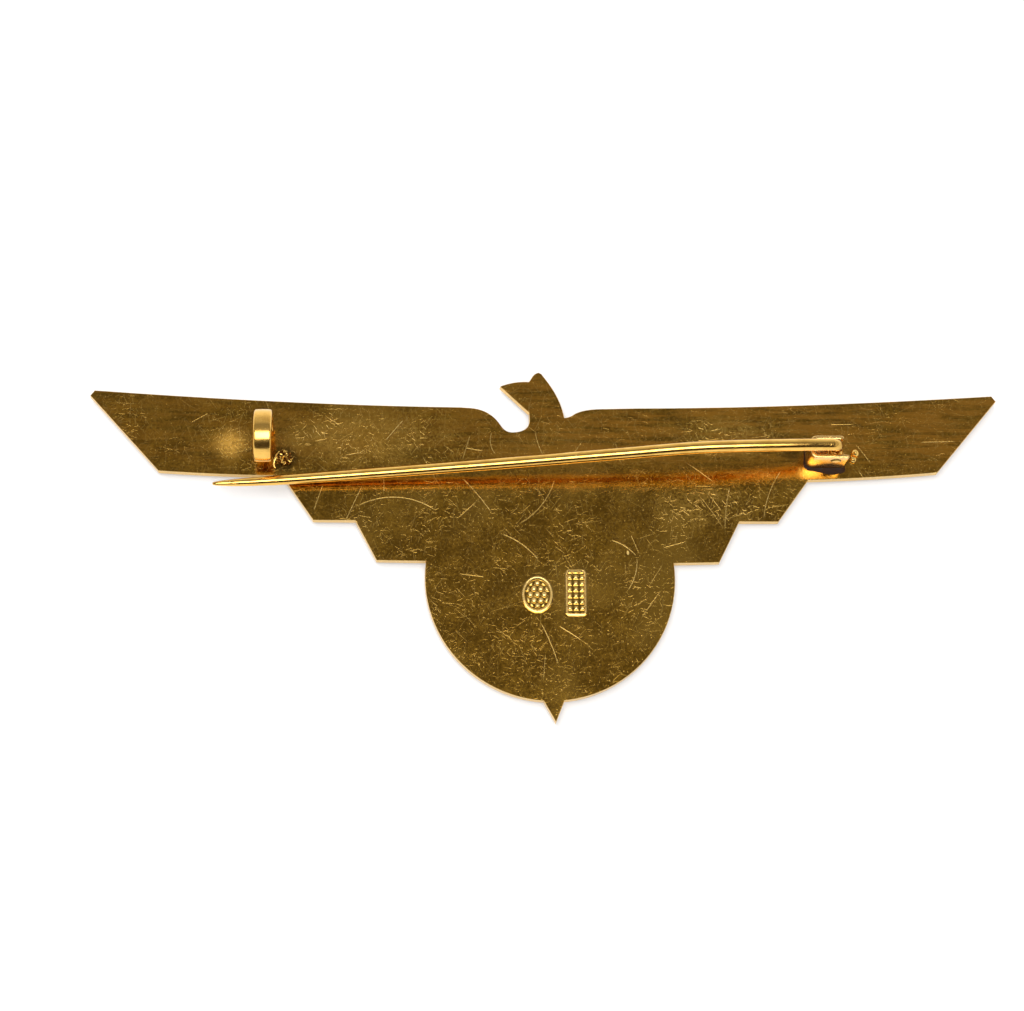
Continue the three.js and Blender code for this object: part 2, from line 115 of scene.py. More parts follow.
class Shading:
    """A material, and the sums that feed it. Each method makes one node and returns what it puts out."""

    def __init__(self, name, roughness=0.3, metallic=1.0):
        self.material = bpy.data.materials.new(name)
        self.material.use_nodes = True
        self.tree = self.material.node_tree
        self.surface = self.tree.nodes["Principled BSDF"]
        self.surface.inputs["Metallic"].default_value = metallic
        self.surface.inputs["Roughness"].default_value = roughness
        self.place = self.vector("SCALE", self.node("ShaderNodeTexCoord").outputs["Object"], scale=1 / MM)

    def node(self, kind, inputs=None, **settings):
        made = self.tree.nodes.new(kind)
        for key, value in settings.items():
            setattr(made, key, value)
        for key, value in (inputs or {}).items():
            self.feed(made.inputs[key], value)
        return made

    def feed(self, socket, value):
        if isinstance(value, bpy.types.NodeSocket):
            self.tree.links.new(value, socket)
        elif socket.type == "RGBA":
            socket.default_value = (*value[:3], 1)
        else:
            socket.default_value = value

    def math(self, operation, a, b=0.0, clamp=False):
        return self.node("ShaderNodeMath", {0: a, 1: b}, operation=operation, use_clamp=clamp).outputs[0]

    def times(self, a, b):
        return self.math("MULTIPLY", a, b)

    def vector(self, operation, a, b=(0, 0, 0), scale=1.0):
        made = self.node("ShaderNodeVectorMath", {0: a, 1: b, 3: scale}, operation=operation)
        return made.outputs["Value" if operation in ("LENGTH", "DISTANCE") else "Vector"]

    def step(self, value, low, high, out_low=0.0, out_high=1.0):
        """A smooth step from out_low, where the value is low, to out_high, where it is high."""
        inputs = {"Value": value, 1: low, 2: high, 3: out_low, 4: out_high}
        return self.node("ShaderNodeMapRange", inputs, interpolation_type="SMOOTHSTEP").outputs[0]

    def blend(self, factor, a, b, mode="MIX"):
        made = self.node("ShaderNodeMix", data_type="RGBA", blend_type=mode)
        self.feed(made.inputs[0], factor)
        self.feed(made.inputs[6], a)
        self.feed(made.inputs[7], b)
        return made.outputs[2]

    def noise(self, size, detail=3.0, rough=0.5, stretch=(1, 1, 1), shift=0.0):
        """Cloudy noise from 0 to 1, with blobs about as wide as size, drawn out along an axis by stretch."""
        scale = tuple(1 / (size * s) for s in stretch)
        place = self.vector("MULTIPLY_ADD", self.place, scale)
        self.tree.nodes[-1].inputs[2].default_value = (shift, shift * 1.7, shift * 0.6)
        inputs = {"Vector": place, "Scale": 1.0, "Detail": detail, "Roughness": rough}
        return self.node("ShaderNodeTexNoise", inputs).outputs["Fac"]

    def attribute(self, name):
        return self.node("ShaderNodeAttribute", attribute_name=name).outputs["Fac"]

    def largest(self, values):
        total = values[0]
        for value in values[1:]:
            total = self.math("MAXIMUM", total, value)
        return total

    def paint(self, colour, roughness):
        self.feed(self.surface.inputs["Base Color"], colour)
        self.feed(self.surface.inputs["Roughness"], roughness)

    def bumps(self, *layers):
        """Stacks bump layers, each (height socket, depth in millimetres), and feeds them to the surface."""
        normal = None
        for height, depth in layers:
            bump = self.node("ShaderNodeBump", {"Strength": 1.0, "Distance": depth * MM, "Height": height})
            if normal is not None:
                self.feed(bump.inputs["Normal"], normal)
            normal = bump.outputs["Normal"]
        self.feed(self.surface.inputs["Normal"], normal)

    def cells(self, place, size):
        """Cells about size wide in plan, and three random numbers for each."""
        inputs = {"Vector": place, "Scale": 1 / size}
        made = self.node("ShaderNodeTexVoronoi", inputs, voronoi_dimensions="2D")
        return made, self.node("ShaderNodeSeparateColor", {"Color": made.outputs["Color"]}).outputs

    def hairlines(self, cell, length, width, share, bend=0.3, seed=0.0):
        """Short scratches, at most one to a cell, each at its own angle. share of the cells have one."""
        wobble = self.node("ShaderNodeTexNoise", {"Vector": self.place, "Scale": 0.6 / cell, "Detail": 1.0})
        offset = self.vector("SCALE", wobble.outputs["Color"], scale=bend * cell)
        flat = self.vector("MULTIPLY", self.vector("ADD", self.place, offset), (1, 1, 0))
        place = self.vector("ADD", flat, (seed, seed * 1.3, 0))
        cells, draw = self.cells(place, cell)
        from_middle = self.vector("SUBTRACT", place, cells.outputs["Position"])
        angle = self.times(draw[0], math.tau)
        inputs = {"Vector": from_middle, "Angle": angle}
        turned = self.node("ShaderNodeVectorRotate", inputs, rotation_type="Z_AXIS")
        along, across, _ = self.node("ShaderNodeSeparateXYZ", {"Vector": turned.outputs[0]}).outputs
        thin = self.step(self.math("ABSOLUTE", across), width * 0.35, width, 1.0, 0.0)
        short = self.step(self.math("ABSOLUTE", along), length * 0.3, length * 0.5, 1.0, 0.0)
        chosen = self.step(draw[1], 1 - share, 1 - share * 0.4, 0.0, 1.0)
        return self.times(self.times(thin, short), chosen)

    def long_scratch(self, start, end, bow, width=0.05):
        """One scratch from start to end, bowed to its left by bow at its middle."""
        start, end = Vector(start), Vector(end)
        chord = end - start
        half = chord.length / 2
        left = Vector((-chord.y, chord.x)).normalized()
        bow = bow or 0.01
        radius = (half * half + bow * bow) / (2 * abs(bow))
        top = (start + end) / 2 + left * bow
        centre = top - left * radius * math.copysign(1, bow)
        flat = self.vector("MULTIPLY", self.place, (1, 1, 0))
        to_centre = self.vector("DISTANCE", flat, (*centre, 0))
        off_line = self.math("ABSOLUTE", self.math("SUBTRACT", to_centre, radius))
        thin = self.step(off_line, width * 0.3, width, 1.0, 0.0)
        to_top = self.vector("DISTANCE", flat, (*top, 0))
        return self.times(thin, self.step(to_top, half * 0.8, half, 1.0, 0.0))

    def patch(self, middle, reach, inner=0.0, stretch=(1, 1)):
        """A soft round or oval patch, 1 inside and 0 outside."""
        scaled = self.vector("MULTIPLY", self.place, (1 / stretch[0], 1 / stretch[1], 0))
        centre = (middle[0] / stretch[0], middle[1] / stretch[1], 0)
        return self.step(self.vector("DISTANCE", scaled, centre), inner, reach, 1.0, 0.0)


# long scratches on the back of the sheet: start, end, bow
LONG_SCRATCHES = [
    ((-14.9, 2.7), (-8.3, 2.3), 1.1),
    ((-15.5, 1.7), (-14.2, 4.6), 0.0),
    ((-17.9, 2.5), (-17.2, 4.6), 0.0),
    ((16.4, 1.9), (18.0, 6.0), 0.3),
    ((13.4, 1.1), (13.9, 4.6), 0.1),
    ((-0.8, -6.1), (0.5, -9.4), 0.1),
    ((5.8, -3.7), (6.6, -1.0), -0.25),
    ((6.6, -1.0), (4.6, 0.3), -0.2),
    ((28.8, 8.2), (31.7, 8.3), 0.0),
    ((-0.4, 7.0), (-1.0, 8.9), 0.1),
    ((-6.7, 5.2), (-4.4, 2.4), 0.1),
    ((0.5, 5.3), (-2.4, 1.5), 0.5),
    ((-3.8, 0.8), (-0.8, -1.4), 0.3),
    ((-4.3, 8.9), (-4.0, 7.0), -0.3),
    ((-12.5, 8.1), (-11.1, 9.8), 0.0),
    ((-6.6, 6.6), (-6.0, 8.6), 0.0),
    ((29.0, 5.4), (30.7, 6.1), 0.0),
    ((1.3, 10.2), (2.2, 11.6), 0.2),
]

OLIVE_DARK = (0.255, 0.130, 0.014)
OLIVE = (0.445, 0.238, 0.030)
OLIVE_LIGHT = (0.520, 0.300, 0.054)
# brown of the painted shade beside the pin wire
SHADE_BROWN = (0.700, 0.330, 0.045)
RUBBED_GOLD = (0.700, 0.420, 0.085)
STRAW = (0.860, 0.580, 0.190)
FRESH_GOLD = (0.900, 0.545, 0.130)
# dark tarnish, also used for painted shade on the fittings
TARNISH_AND_SHADE = (0.060, 0.032, 0.007)
# lighter gold of the painted highlights on the sheet
HIGHLIGHT_GOLD = (0.980, 0.540, 0.100)
MARK_AND_EDGE_GOLD = (0.980, 0.660, 0.220)
# rubbed places and how far each reaches
RUBBED = [((-13.5, 8.3), (9.0, 3.0)), ((14.0, 8.6), (6.0, 2.2)), ((12.0, 3.0), (6.0, 2.2))]
FLECK = (5.93, -0.7)
# middles of the painted highlights: by the catch, at the hinge, and a streak beside the hinge
CATCH_HIGHLIGHT = (CATCH_LOW.x - 1.9, 7.8)
HINGE_HIGHLIGHT = (HINGE_LOW.x, 5.7)
STREAK_HIGHLIGHT = (HINGE_LOW.x - 3.4, 5.5)
HINGE_DARK_PATCH = (HINGE_LOW.x - 0.95, HINGE_LOW.y + 1.0)


def sheet_gold():
    m = Shading("sheet_gold_worn")
    broad = m.noise(6.0, detail=2.0)
    cloud = m.noise(1.5, detail=4.0, rough=0.62, shift=3.0)
    speckle = m.noise(0.22, detail=3.0, rough=0.70, shift=5.0)
    grain = m.noise(0.10, detail=2.0, rough=0.6, shift=6.0)
    streaks = m.noise(0.45, detail=4.0, rough=0.65, stretch=(9, 1, 1), shift=8.0)
    across, height, _ = m.node("ShaderNodeSeparateXYZ", {"Vector": m.place}).outputs
    mottle = m.math("ADD", m.times(speckle, 0.55), m.times(cloud, 0.45))
    colour = m.blend(m.step(mottle, 0.40, 0.60), OLIVE_DARK, OLIVE)
    colour = m.blend(m.step(broad, 0.48, 0.72, 0.0, 0.7), colour, OLIVE_LIGHT)
    # painted shade: brown streaks over the sheet north of about y 5 to 7.5 mm, beside the pin wire, strongest
    # towards the hinge
    band = m.times(m.step(height, 5.0, 7.5), m.step(across, -12.0, 6.0, 0.45, 1.0))
    band = m.times(band, m.step(streaks, 0.36, 0.62))
    colour = m.blend(m.times(band, 0.85), colour, SHADE_BROWN)
    rubbed = m.largest([m.patch(place, 1.0, inner=0.3, stretch=reach) for place, reach in RUBBED])
    lifted = m.times(rubbed, m.step(mottle, 0.42, 0.60, 0.15, 0.75))
    colour = m.blend(lifted, colour, RUBBED_GOLD)
    # painted highlight: warm patches of lighter, slightly rougher gold where the lamp shines back off the
    # sheet, by the catch and the hinge, and a broad faint one east of the catch
    painted_highlight = m.largest([
        m.patch(CATCH_HIGHLIGHT, 1.8, inner=0.35, stretch=(1.1, 1)),
        m.times(m.patch(HINGE_HIGHLIGHT, 0.8, inner=0.1, stretch=(1.5, 1)), 0.7),
        m.times(m.patch(STREAK_HIGHLIGHT, 1.0, stretch=(3.6, 0.6)), 0.6),
        m.times(m.patch((CATCH_HIGH.x + 6.0, 8.2), 6.0, stretch=(1, 0.45)), 0.40),
    ])
    painted_highlight = m.times(painted_highlight, m.step(mottle, 0.30, 0.60, 0.7, 1.0))
    colour = m.blend(m.times(painted_highlight, 0.8), colour, HIGHLIGHT_GOLD)

    patchy = m.step(m.noise(3.5, detail=2.0, shift=11.0), 0.35, 0.65, 0.5, 1.0)
    patchy = m.times(patchy, m.step(rubbed, 0.0, 1.0, 1.0, 1.45))
    patchy = m.times(patchy, m.step(height, SHEET_LOW.y, 3.0, 0.75, 1.0))
    fleck = m.patch(FLECK, 0.13, inner=0.07, stretch=(1, 1.6))
    fine = m.largest([
        m.hairlines(0.34, 0.50, 0.026, 0.60, bend=0.06, seed=3.1),
        m.hairlines(0.48, 0.70, 0.026, 0.60, bend=0.06, seed=23.9),
        m.hairlines(0.80, 1.20, 0.028, 0.60, bend=0.08, seed=7.7),
        m.hairlines(1.30, 1.90, 0.030, 0.55, bend=0.10, seed=17.3),
    ])
    fine = m.times(fine, patchy)
    strong = m.largest([
        m.hairlines(2.4, 2.2, 0.032, 0.30, bend=0.15, seed=31.0),
        m.hairlines(5.2, 3.0, 0.034, 0.12, bend=0.2, seed=43.0),
        *[m.long_scratch(*scratch) for scratch in LONG_SCRATCHES],
    ])
    specks, draw = m.cells(m.place, 0.36)
    dots = m.times(m.step(specks.outputs["Distance"], 0.07, 0.15, 1.0, 0.0), m.step(draw[0], 0.5, 0.9))
    marked = m.largest([m.times(fine, 0.46), m.times(strong, 0.70), m.times(dots, 0.5), fleck])
    # the raised parts of the marks, and the sheared side as bare metal and painted edge highlight, take the
    # brighter gold
    colour = m.blend(m.attribute("polish_and_edge_highlight"), m.blend(marked, colour, STRAW), MARK_AND_EDGE_GOLD)
    worn = m.largest([marked, m.times(m.attribute("polish_and_edge_highlight"), 0.8)])
    # a darker patch on the sheet just west of the hinge box, under the wire, added to the flux staining and
    # the dirt in the marks
    hinge_dark_patch = m.patch(HINGE_DARK_PATCH, 1.1, stretch=(1.2, 0.7))
    grime_and_shade = m.largest([m.times(m.attribute("grime_and_shade"), 0.85), m.times(hinge_dark_patch, 0.55)])
    matt = m.math("ADD", m.step(mottle, 0.35, 0.65, 0.11, 0.16), m.times(worn, 0.18))
    m.paint(m.blend(grime_and_shade, colour, TARNISH_AND_SHADE), m.math("ADD", matt, m.times(painted_highlight, 0.14)))
    m.bumps(
        (m.noise(1.6, detail=2.0, shift=14.0), 0.012),
        (streaks, 0.0025),
        (speckle, 0.0026),
        (grain, 0.0012),
        (m.math("SUBTRACT", 1.0, marked), 0.004),
    )
    return m.material


def polished_gold(name, tone=FRESH_GOLD, stretch=(1, 1, 1), roughness=0.13, dents=0.02):
    """Bright gold with fine drawn lines along one axis, small dents, and patches of duller gold."""
    m = Shading(name)
    lines = m.noise(0.09, detail=2.0, rough=0.7, stretch=stretch)
    cloud = m.noise(1.1, detail=3.0, rough=0.6, shift=4.0)
    dull = tuple(c * f for c, f in zip(tone, (0.86, 0.80, 0.70)))
    colour = m.blend(m.step(cloud, 0.38, 0.70), tone, dull)
    nicks = m.hairlines(0.8, 0.9, 0.03, 0.4, seed=5.0)
    # a point attribute darkens this gold: painted shade at the wire's root, at the foot of the hinge box and
    # round the rivet heads
    grime_and_shade = m.times(m.attribute("grime_and_shade"), 0.9)
    rough = m.step(cloud, 0.3, 0.75, roughness * 0.85, roughness * 1.3)
    m.paint(m.blend(grime_and_shade, colour, TARNISH_AND_SHADE), m.math("ADD", rough, m.times(grime_and_shade, 0.3)))
    m.bumps((cloud, dents), (lines, 0.0015), (m.math("SUBTRACT", 1.0, nicks), 0.004))
    return m.material


def solder_gold():
    m = Shading("solder_rough")
    lumps = m.noise(0.30, detail=4.0, rough=0.7)
    colour = m.blend(m.step(lumps, 0.50, 0.57), (0.10, 0.034, 0.004), (1.0, 0.64, 0.15))
    m.paint(colour, m.step(lumps, 0.4, 0.6, 0.30, 0.18))
    m.bumps((lumps, 0.015))
    return m.material


# painted shadow: nearly black and barely shiny, for the skirt round the hinge box's foot
def shadow_skirt_paint():
    m = Shading("solder_fillet_painted_shadow", metallic=0.0)
    lumps = m.noise(0.5, detail=4.0, rough=0.6)
    colour = m.blend(lumps, (0.010, 0.004, 0.002), (0.045, 0.016, 0.005))
    m.paint(colour, m.step(lumps, 0.3, 0.7, 0.45, 0.60))
    m.surface.inputs["Specular IOR Level"].default_value = 0.12
    m.bumps((lumps, 0.02))
    return m.material


def relief_gold():
    """Satin gold of the hidden front, darker in its grooves."""
    m = Shading("relief_gold_satin")
    cloud = m.noise(2.5, detail=4.0, rough=0.6)
    grain = m.noise(0.15, detail=3.0, rough=0.7, shift=2.0)
    colour = m.blend(m.step(cloud, 0.35, 0.7), FRESH_GOLD, (0.72, 0.46, 0.14))
    grime_and_shade = m.times(m.attribute("grime_and_shade"), 0.8)
    m.paint(m.blend(grime_and_shade, colour, (0.16, 0.08, 0.02)), m.step(cloud, 0.3, 0.7, 0.24, 0.38))
    m.bumps((grain, 0.004))
    return m.material


def blue_enamel():
    """Glass enamel over an engraved sunburst."""
    m = Shading("enamel_deep_blue", roughness=0.08, metallic=0.0)
    from_middle = m.vector("SUBTRACT", m.place, (DISC_MIDDLE.x, DISC_MIDDLE.y, 0))
    x, y, _ = m.node("ShaderNodeSeparateXYZ", {"Vector": from_middle}).outputs
    angle = m.math("ARCTAN2", y, x)
    rays = m.math("ABSOLUTE", m.math("SINE", m.times(angle, 48.0)))
    cloud = m.noise(1.5, detail=3.0)
    shade = m.times(rays, m.step(cloud, 0.2, 0.8, 0.5, 1.0))
    m.feed(m.surface.inputs["Base Color"], m.blend(shade, (0.003, 0.008, 0.045), (0.012, 0.045, 0.200)))
    m.surface.inputs["Coat Weight"].default_value = 0.6
    m.surface.inputs["Coat Roughness"].default_value = 0.03
    m.bumps((cloud, 0.004))
    return m.material


SHEET_GOLD = sheet_gold()
WIRE_GOLD = polished_gold("wire_gold_drawn", stretch=(30, 1, 1), roughness=0.15, dents=0.002)
HINGE_GOLD = polished_gold("hinge_gold_satin", tone=(0.90, 0.58, 0.21), roughness=0.25, dents=0.003)
FITTING_GOLD = polished_gold("fitting_gold_polished", stretch=(1, 8, 8), roughness=0.21, dents=0.006)
SOLDER = solder_gold()
SOLDER_BRIGHT = polished_gold("solder_bright", tone=(1.0, 0.66, 0.18), roughness=0.16, dents=0.004)
SHADOW_SKIRT = shadow_skirt_paint()
RELIEF_GOLD = relief_gold()
ENAMEL = blue_enamel()

# ---------- mesh making ----------


def add_piece(name, points, faces, material, replaces=(), attributes=None, sharp=40, body="badge"):
    """Makes one closed piece from points in millimetres, smooth but for edges that turn more than sharp."""
    mesh = bpy.data.meshes.new(name)
    mesh.from_pydata([Vector(p) * MM for p in points], [], faces)
    for key, values in (attributes or {}).items():
        layer = mesh.attributes.new(key, "FLOAT", "POINT")
        layer.data.foreach_set("value", np.array(values, np.float32))
    build = bmesh.new()
    build.from_mesh(mesh)
    bmesh.ops.recalc_face_normals(build, faces=build.faces)
    build.to_mesh(mesh)
    build.free()
    mesh.shade_smooth()
    mesh.set_sharp_from_angle(angle=math.radians(sharp))
    mesh.materials.append(material)
    piece = bpy.data.objects.new(name, mesh)
    bpy.context.scene.collection.objects.link(piece)
    if body:
        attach(piece, body)
    if replaces:
        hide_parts(*replaces)
    return piece


def tube_faces(rings, sides, closed=False):
    """Faces between rings of equally many points. closed joins the last ring to the first."""
    faces = []
    for ring in range(rings if closed else rings - 1):
        near = ring * sides
        far = (ring + 1) % rings * sides
        for i in range(sides):
            j = (i + 1) % sides
            faces.append((near + i, near + j, far + j, far + i))
    return faces


def capped_tube(rings):
    """Points and faces of a tube through the rings, with a flat face on each end."""
    sides = len(rings[0])
    faces = tube_faces(len(rings), sides)
    faces.append(tuple(reversed(range(sides))))
    last = (len(rings) - 1) * sides
    faces.append(tuple(last + i for i in range(sides)))
    return [p for ring in rings for p in ring], faces


def closed_tube(rings):
    """Points and faces of a tube whose last ring joins its first."""
    return [p for ring in rings for p in ring], tube_faces(len(rings), len(rings[0]), closed=True)


def turned_skin(rings):
    """Points and faces between open strips of points that go once round an axis."""
    sides = len(rings[0])
    faces = []
    for i in range(len(rings)):
        near, far = i * sides, (i + 1) % len(rings) * sides
        faces += [(near + k, near + k + 1, far + k + 1, far + k) for k in range(sides - 1)]
    return [p for ring in rings for p in ring], faces


def flat_outline(node, height, tolerance=0.004):
    """The outermost loop round a CAD node's flat faces at one height, anticlockwise from above."""
    mesh = frame["nodes"][node].data
    edges = set()
    for polygon in mesh.polygons:
        corners = [mesh.vertices[v].co / MM for v in polygon.vertices]
        if max(abs(c.z - height) for c in corners) > tolerance:
            continue
        keys = [(round(c.x, 3), round(c.y, 3)) for c in corners]
        edges.update(zip(keys, keys[1:] + keys[:1]))
    following = {a: b for a, b in edges if (b, a) not in edges and a != b}
    loops = []
    while following:
        start, here = following.popitem()
        loop = [start]
        while here != start:
            loop.append(here)
            here = following.pop(here)
        loops.append([Vector(p) for p in loop])
    outer = max(loops, key=lambda loop: abs(loop_area(loop)))
    return outer if loop_area(outer) > 0 else outer[::-1]


def loop_area(loop):
    return sum(a.x * b.y - b.x * a.y for a, b in zip(loop, loop[1:] + loop[:1])) / 2


def inset(loop, distance):
    """The loop moved inwards, or outwards where distance is negative."""
    moved = []
    for i, here in enumerate(loop):
        before = (here - loop[i - 1]).normalized()
        after = (loop[(i + 1) % len(loop)] - here).normalized()
        normal_a = Vector((-before.y, before.x))
        normal_b = Vector((-after.y, after.x))
        moved.append(here + (normal_a + normal_b) * distance / max(1 + normal_a.dot(normal_b), 0.4))
    return moved


def distance_to_loop(points, loop):
    """How far each point is from the loop's line, and whether it is inside."""
    p = np.array(points, float)
    a = np.array([tuple(v) for v in loop])
    b = np.roll(a, -1, axis=0)
    nearest = np.full(len(p), 1e9)
    inside = np.zeros(len(p), bool)
    for start, end in zip(a, b):
        d = end - start
        t = np.clip(((p - start) @ d) / max(d @ d, 1e-12), 0, 1)
        nearest = np.minimum(nearest, np.linalg.norm(p - start - t[:, None] * d, axis=1))
        crosses = (start[1] > p[:, 1]) != (end[1] > p[:, 1])
        if start[1] != end[1]:
            at = start[0] + (p[:, 1] - start[1]) * d[0] / (end[1] - start[1])
            inside ^= crosses & (p[:, 0] < at)
    return nearest, inside


HEX_ROW = 0.866  # spacing of a staggered grid's rows, as a share of its pitch


def hex_grid(low, high, pitch):
    rows = int((high[1] - low[1]) / (pitch * HEX_ROW)) + 1
    columns = int((high[0] - low[0]) / pitch) + 1
    return [
        (low[0] + (column + row % 2 / 2) * pitch, low[1] + row * pitch * HEX_ROW)
        for row in range(rows)
        for column in range(columns)
    ]


def crowned_slab(loop, points, rim, far_rim, crown, facing=1, extras=None):
    """A closed slab with one detailed face.

    rim lists (inset, height) rings from the edge of the detailed face round the side. far_rim is the plain
    face's ring. crown(x, y, distance from the edge) is added to the detailed face, upwards where facing is 1
    and downwards where it is -1. extras names further functions of the same three, kept as point attributes.
    """
    first = inset(loop, rim[0][0])
    nearest, inside = distance_to_loop(points, first)
    kept = [p for p, d, ok in zip(points, nearest, inside) if ok and d > 0.03]
    flat = first + [Vector(p) for p in kept]
    found, _, triangles, origins, _, _ = delaunay_2d_cdt(flat, [], [list(range(len(first)))], 1, 1e-6)
    ring_at = {origin: i for i, ids in enumerate(origins) for origin in ids if origin < len(first)}
    edge_distance, _ = distance_to_loop([tuple(p) for p in found], loop)
    corners = [
        (p.x, p.y, rim[0][1] + facing * crown(p.x, p.y, d)) for p, d in zip(found, edge_distance)
    ]
    values = {
        key: [measure(p.x, p.y, d) for p, d in zip(found, edge_distance)]
        for key, measure in (extras or {}).items()
    }
    faces = [tuple(t) for t in triangles]
    last = [ring_at[i] for i in range(len(first))]
    size = len(first)
    for distance, height in rim[1:] + [far_rim]:
        base = len(corners)
        ring = inset(loop, distance)
        corners += [(p.x, p.y, height) for p in ring]
        for key, measure in (extras or {}).items():
            values[key] += [measure(p.x, p.y, 0.0) for p in ring]
        here = list(range(base, base + size))
        faces += [(last[i], last[(i + 1) % size], here[(i + 1) % size], here[i]) for i in range(size)]
        last = here
    far = inset(loop, far_rim[0])
    _, _, triangles, origins, _, _ = delaunay_2d_cdt(far, [], [list(range(size))], 1, 1e-6)
    faces += [tuple(last[origins[i][0]] for i in reversed(t)) for t in triangles]
    return corners, faces, values


def smooth_step(value, low, high):
    t = min(max((value - low) / (high - low), 0.0), 1.0)
    return t * t * (3 - 2 * t)


def bell(value, width):
    return math.exp(-((value / width) ** 2))


# ---------- the sheet ----------

GRID_PITCH = 0.5
MARK_PITCH = 0.06
EDGE_BEVEL = 0.03
# brighter gold on the sheared side: partly bare metal, partly a painted highlight along the edges
SIDE_POLISH_AND_HIGHLIGHT = 0.6
SIDE_FLARE = 0.035  # the sheared side leans out this far at its foot
OVAL_MARK = {"middle": (DISC_MIDDLE.x - 1.0, DISC_MIDDLE.y - 1.28), "radii": (1.08, 1.28)}
BAR_MARK = {"middle": (DISC_MIDDLE.x + 1.92, DISC_MIDDLE.y - 1.15), "half": (0.70, 1.68), "corner": 0.2}
MARK_FLOOR = 0.07
MARK_RIM = 0.042
MARK_EDGE = 0.35  # a mark's raised rim ends this far outside it
STUD_PITCH = 0.52
STUD_HEIGHT = 0.085
WAFFLE_PITCH = 0.48
WAFFLE_HEIGHT = 0.09


def oval_distance(x, y):
    """Distance outside the oval mark's line, about right near it, and negative inside."""
    across, along = OVAL_MARK["radii"]
    u = (x - OVAL_MARK["middle"][0]) / across
    v = (y - OVAL_MARK["middle"][1]) / along
    return (math.hypot(u, v) - 1) * min(across, along)


def bar_distance(x, y):
    half = BAR_MARK["half"]
    corner = BAR_MARK["corner"]
    u = abs(x - BAR_MARK["middle"][0]) - half[0] + corner
    v = abs(y - BAR_MARK["middle"][1]) - half[1] + corner
    return math.hypot(max(u, 0), max(v, 0)) + min(max(u, v), 0) - corner


def mark_distance(x, y):
    return min(oval_distance(x, y), bar_distance(x, y))


def studs(x, y, pitch):
    """Small domes in a staggered grid, 1 at their tops."""
    row = round(y / (pitch * HEX_ROW))
    shifted = x / pitch + row % 2 / 2
    dx = (shifted - round(shifted)) * pitch
    dy = y - row * pitch * HEX_ROW
    return max(0.0, 1 - (math.hypot(dx, dy) / (pitch * 0.44)) ** 2)


def waffle(x, y, pitch):
    """Small pyramids in a square grid, 1 at their tops."""
    u = abs(x / pitch - round(x / pitch)) * 2
    v = abs(y / pitch - round(y / pitch)) * 2
    return max(0.0, 1 - 1.25 * max(u, v))


def mark_height(x, y):
    """Height of the punch marks' raised rims, sunk floors and raised patterns."""
    total = 0.0
    oval = oval_distance(x, y)
    if oval < 0.4:
        depth = smooth_step(-oval, 0.0, 0.14)
        pattern = studs(x - OVAL_MARK["middle"][0], y - OVAL_MARK["middle"][1], STUD_PITCH)
        field = smooth_step(-oval, 0.16, 0.3)
        total += MARK_RIM * bell(oval - 0.02, 0.09) - MARK_FLOOR * depth + STUD_HEIGHT * pattern * field
    bar = bar_distance(x, y)
    if bar < 0.4:
        depth = smooth_step(-bar, 0.0, 0.1)
        pattern = waffle(x - BAR_MARK["middle"][0], y - BAR_MARK["middle"][1] - 0.25, WAFFLE_PITCH)
        field = smooth_step(-bar, 0.06, 0.14)
        total += MARK_RIM * bell(bar - 0.01, 0.07) - MARK_FLOOR * depth + WAFFLE_HEIGHT * pattern * field
    return total


def sheet_crown(x, y, edge):
    gentle = 0.030 * noise.noise(Vector((x / 9, y / 9, 0.3)))
    gentle += 0.008 * noise.noise(Vector((x / 2.6, y / 2.6, 4.1)))
    return gentle * smooth_step(edge, 0.2, 2.5) + mark_height(x, y)


def mark_polish_and_edge_highlight(x, y, edge):
    """1 on the sheared side, partly bare metal and partly a painted highlight along the sheet's edges, and on
    the raised parts of the marks, which stayed bright.
    """
    if edge < EDGE_BEVEL / 2:
        return SIDE_POLISH_AND_HIGHLIGHT
    height = mark_height(x, y)
    near = mark_distance(x, y)
    if near > 0.3:
        return 0.0
    raised = smooth_step(height, -0.06, -0.01)
    return raised * smooth_step(-near, -0.14, -0.02)


def sheet_grime(x, y, edge):
    """Dark flux staining round the catch's solder, and a little dirt in the marks' hollows."""
    near = mark_distance(x, y)
    hollow = smooth_step(-mark_height(x, y), 0.04, 0.07) * 0.3 if near < 0 else 0.0
    ragged = 0.25 * noise.noise(Vector((x * 2.5, y * 2.5, 2.0)))
    from_lump = math.hypot((x - LUMP_MIDDLE.x) * 1.1, y - LUMP_MIDDLE.y + 0.1) + ragged
    return max(hollow, 0.85 * (1 - smooth_step(from_lump, 0.75, 1.3)))


